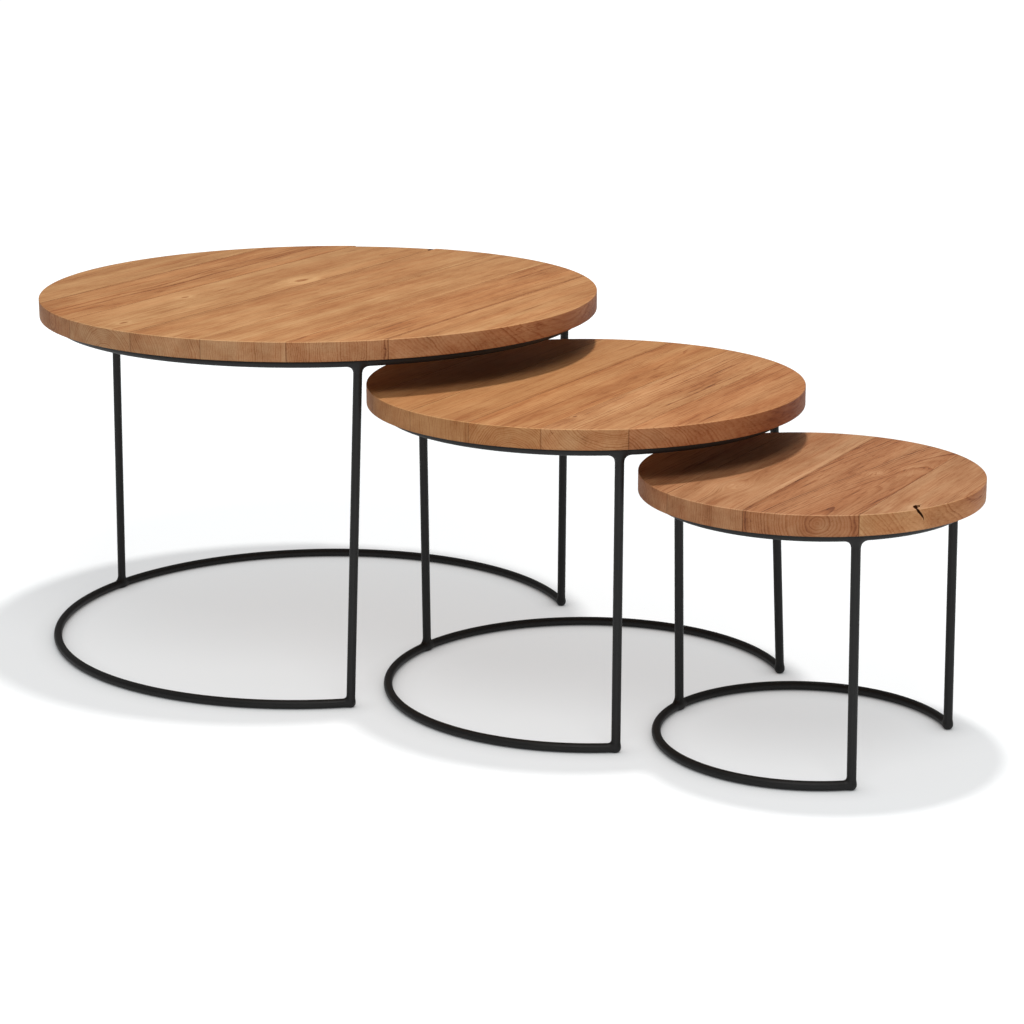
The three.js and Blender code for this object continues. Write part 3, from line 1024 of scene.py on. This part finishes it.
def round_foot(bar, turn, others):
    """The half ball under a post's lower end."""
    rings = []
    for k in range(1, FOOT_STEPS):
        drop = math.pi / 2 * (1 - k / FOOT_STEPS)
        normals = np.outer(np.cos(turn), bar.side) + np.outer(np.sin(turn), bar.other)
        normals = normals * math.cos(drop) - bar.way * math.sin(drop)
        out = weld_out(bar, others, bar.foot, normals)
        rings.append(bar.foot + (BAR + out)[:, None] * normals)
    return rings


CORNER_BLEND = 5 * MM
RING_END_GAP = 1.0 * MM


def make_frame(layout, steel):
    """The welded frame of one table: upper ring, three legs and the open floor ring."""
    table = layout.table
    posts = {side: Post(*ends) for side, ends in layout.legs.items()}
    start, end = layout.floor_angle("right"), layout.floor_angle("front")
    end += 2 * math.pi if end < start else 0.0
    trim = RING_END_GAP / layout.floor_radius
    upper = Hoop(layout.centre, layout.ring_radius, layout.ring_height)
    lower = Hoop(layout.floor_centre, layout.floor_radius, BAR, start + trim, end - trim)
    blends = {"left": LEFT_FOOT_BLEND, "front": CORNER_BLEND, "right": CORNER_BLEND}

    ring = make_bar(
        f"{table}_upper_ring_bar", upper, [(post, WELD_BLEND) for post in posts.values()],
        [upper.station_of(post.head) for post in posts.values()], steel,
    )
    finish_piece(ring, f"{table}_upper_ring", layout.body)
    floor_welds = [0.0, lower.length, lower.station_of(posts["left"].foot)]
    ring = make_bar(
        f"{table}_floor_ring_bar", lower, [(post, blends[side]) for side, post in posts.items()],
        floor_welds, steel,
    )
    finish_piece(ring, f"{table}_floor_ring", layout.body)
    for side, post in posts.items():
        leg = make_bar(
            f"{table}_leg_{side}_bar", post, [(upper, WELD_BLEND), (lower, blends[side])],
            [0.0, post.length], steel,
        )
        finish_piece(leg, f"{table}_leg_{side}", layout.body)


# -------------------- lugs and screws

LUG_ARRIS = 0.5 * MM
LUG_HOLE = 2.6 * MM
LUG_SINK = BAR * 0.8     # how far inside the ring's middle line the lug ends
BEAD_SINK = BAR * 0.93   # and where the bead's middle line runs
BEAD_SPAN = 0.86         # of the lug's width
BEAD_DROP = 0.1 * MM
BEAD_RIPPLE = 0.10
HOLE_SIDES = 20
BEAD_RADIUS = 1.7 * MM
BEAD_SIDES = 10
BEAD_STEPS = 44
BEAD_RIPPLES = 11


def ring_frame(layout, node):
    """Axes of a part on the upper ring: outwards, round the ring, and up."""
    middle = middle_of(node_points(node))
    offset = middle[:2] - layout.centre
    radial = np.array([*(offset / np.linalg.norm(offset)), 0.0])
    return radial, np.array([-radial[1], radial[0], 0.0]), np.array([0.0, 0.0, 1.0])


def make_lug(layout, node, screw_node, steel):
    """A round-ended tab welded to the upper ring, with a screw hole and a rippled weld bead."""
    radial, around, up = ring_frame(layout, node)
    points = node_points(node)
    local = (points - np.array([*layout.centre, 0.0])) @ np.column_stack([radial, around])
    half = (local[:, 1].max() - local[:, 1].min()) / 2
    inner, outer = local[:, 0].min(), layout.ring_radius - LUG_SINK
    low, high = points[:, 2].min(), points[:, 2].max()
    screw = middle_of(node_points(screw_node)[:, :2]) - layout.centre
    hole_place = np.array([math.hypot(*screw), 0.0])

    def outline(step):
        turn = np.linspace(math.pi / 2, math.pi * 3 / 2, HOLE_SIDES - 1)
        bend = half - step
        arc = np.column_stack([inner + half + bend * np.cos(turn), bend * np.sin(turn)])
        corners = [[outer, -bend], [outer, bend]]
        return np.concatenate([corners, arc])

    def hole(step):
        turn = np.linspace(0, 2 * math.pi, HOLE_SIDES + 1, endpoint=False)
        radius = LUG_HOLE + step
        return hole_place + radius * np.column_stack([np.cos(turn), np.sin(turn)])

    levels = [(low, LUG_ARRIS), (low + LUG_ARRIS, 0.0), (high - LUG_ARRIS, 0.0), (high, LUG_ARRIS)]
    count = HOLE_SIDES + 1
    flat = [(x, y, z) for shape in (outline, hole) for z, step in levels for x, y in shape(step)]
    faces = []
    for loop in (0, 1):
        base = loop * len(levels) * count
        sides = stack_faces(len(levels), count)[:-2]
        faces += [tuple(base + k for k in face) for face in sides]
    shell = bmesh.new()
    vertices = [shell.verts.new(radial * x + around * y + up * z) for x, y, z in flat]
    for face in faces:
        shell.faces.new([vertices[k] for k in face])
    shell.edges.ensure_lookup_table()
    for level in (0, len(levels) - 1):
        rims = []
        for loop in (0, 1):
            base = (loop * len(levels) + level) * count
            loop_vertices = vertices[base:base + count]
            rims += [shell.edges.get((loop_vertices[k], loop_vertices[(k + 1) % count]))
                     for k in range(count)]
        bmesh.ops.bridge_loops(shell, edges=rims)
    add_bead(shell, layout, half * BEAD_SPAN, low, radial, around, up)
    bmesh.ops.translate(shell, verts=shell.verts, vec=(*layout.centre, 0.0))
    bmesh.ops.recalc_face_normals(shell, faces=shell.faces)
    mesh = bpy.data.meshes.new(node + "_tab")
    shell.to_mesh(mesh)
    shell.free()
    mesh.materials.append(steel)
    mesh.shade_smooth()
    mesh.set_sharp_from_angle(angle=math.radians(30))
    finish_piece(add_object(node + "_tab", mesh), node, layout.body)


def add_bead(shell, layout, half, low, radial, around, up):
    """The weld bead in the corner between the lug's underside and the ring."""
    rings = []
    turn = np.linspace(0, 2 * math.pi, BEAD_SIDES, endpoint=False)
    sweep = half / layout.ring_radius
    inner = layout.ring_radius - BEAD_SINK
    for k in range(BEAD_STEPS + 1):
        share = k / BEAD_STEPS
        taper = math.sqrt(max(0.06, 1 - (2 * share - 1) ** 6))
        ripple = 1 + BEAD_RIPPLE * math.sin(2 * math.pi * BEAD_RIPPLES * share)
        size = BEAD_RADIUS * taper * ripple
        angle = (2 * share - 1) * sweep
        out = radial * math.cos(angle) + around * math.sin(angle)
        axis = out * inner + up * (low - BEAD_DROP)
        rings.append([axis + size * (math.cos(t) * out + math.sin(t) * up) for t in turn])
    vertices = [shell.verts.new(p) for ring in rings for p in ring]
    for face in stack_faces(len(rings), BEAD_SIDES):
        shell.faces.new([vertices[k] for k in face])


SCREW_SIDES = 24
SHANK_SHARE = 0.46       # of the head's radius
HEAD_FLAT = 0.55         # share of the head's radius that is flat
HEAD_ROUND = 0.85        # share of the head's height that is rounded
HEAD_STEPS = 6
AXIS_RADIUS = 0.0001 * MM
TIP_LENGTH = 1.0 * MM
THREAD_PITCH = 1.4 * MM
THREAD_RISE = 0.35 * MM
PLAIN_SHANK = 2 * MM
POINT = 2.5 * MM
RECESS_ARM = 2.5 * MM
RECESS_HALF_WIDTH = 0.5 * MM
RECESS_DEPTH = 1.5 * MM
RECESS_MOUTH = 1.15      # the slot's size 1 mm outside the head
RECESS_FLOOR = 0.6       # and at its floor


def screw_profile(head, rise, length):
    """Radius and height up the screw, head down; rise is the head's height."""
    shank = SHANK_SHARE * head
    profile = [(AXIS_RADIUS, 0.0), (HEAD_FLAT * head, 0.0)]
    for k in range(1, HEAD_STEPS + 1):
        bend = math.pi / 2 * k / HEAD_STEPS
        radius = head * (HEAD_FLAT + (1 - HEAD_FLAT) * math.sin(bend))
        profile.append((radius, rise * HEAD_ROUND * (1 - math.cos(bend))))
    profile += [(head, rise), (shank, rise)]
    profile += [(shank, z) for z in np.arange(rise + PLAIN_SHANK, length - POINT, THREAD_PITCH / 8)]
    profile += [(shank * 0.5, length - TIP_LENGTH), (AXIS_RADIUS, length)]
    return profile


def screw_shape(head, rise, length, zinc):
    """A pan-head wood screw with a cross recess and a helical thread, head down at the origin."""
    start, stop = rise + PLAIN_SHANK, length - POINT
    rings = []
    for radius, z in screw_profile(head, rise, length):
        ring = []
        for k in range(SCREW_SIDES):
            turn = 2 * math.pi * k / SCREW_SIDES
            wave = ((z - start) / THREAD_PITCH - k / SCREW_SIDES) % 1.0
            valley = min(1.0, abs(wave - 0.5) * 4) if start < z < stop else 0.0
            reach = radius - THREAD_RISE * valley
            ring.append((reach * math.cos(turn), reach * math.sin(turn), z))
        rings.append(ring)
    faces = stack_faces(len(rings), SCREW_SIDES)
    piece = build_mesh("screw", np.concatenate(rings), faces, zinc, 35)
    for arm in (0, 1):
        cut_recess(piece, arm)
    piece.data.set_sharp_from_angle(angle=math.radians(35))
    mesh = piece.data
    bpy.data.objects.remove(piece)
    return mesh


def cut_recess(piece, arm):
    """One slot of the cross, tapering to its floor."""
    corners = []
    for z, share in ((-1 * MM, RECESS_MOUTH), (RECESS_DEPTH, RECESS_FLOOR)):
        for x, y in ((-1, -1), (1, -1), (1, 1), (-1, 1)):
            x, y = x * RECESS_ARM * share, y * RECESS_HALF_WIDTH * share
            corners.append((y, x, z) if arm else (x, y, z))
    subtract(piece, add_object("recess", solid_mesh("recess", corners, stack_faces(2, 4))))


def make_screws(layout, nodes, zinc):
    """One screw at each of the nodes, which are all alike."""
    points = node_points(nodes[0])
    low, tip = points[:, 2].min(), points[:, 2].max()
    place = middle_of(points)
    reach = np.hypot(*(points[:, :2] - place[:2]).T)
    rise = points[reach > 0.9 * reach.max()][:, 2].max() - low
    shape = screw_shape(reach.max(), rise, tip - low, zinc)
    for node in nodes:
        points = node_points(node)
        mesh = shape.copy()
        mesh.transform(Matrix.Translation((*middle_of(points)[:2], points[:, 2].min())))
        finish_piece(add_object(node + "_pan_head", mesh), node, layout.body)


# -------------------- the set

make_camera()
make_light()
make_floor()
steel = make_steel()
zinc = make_zinc()
wood_group = make_wood_group()
for place, table in enumerate(TABLES):
    layout = Layout(table)
    make_frame(layout, steel)
    for number, (node, look) in enumerate(zip(layout.planks, PLANK_LOOKS[table]), 1):
        make_plank(layout, node, wood_group, {"seed": 10 * place + number, **look})
    screws = nodes_of(table, "top_screw")
    for lug, screw in zip(nodes_of(table, "top_lug"), screws):
        make_lug(layout, lug, screw, steel)
    make_screws(layout, screws, zinc)
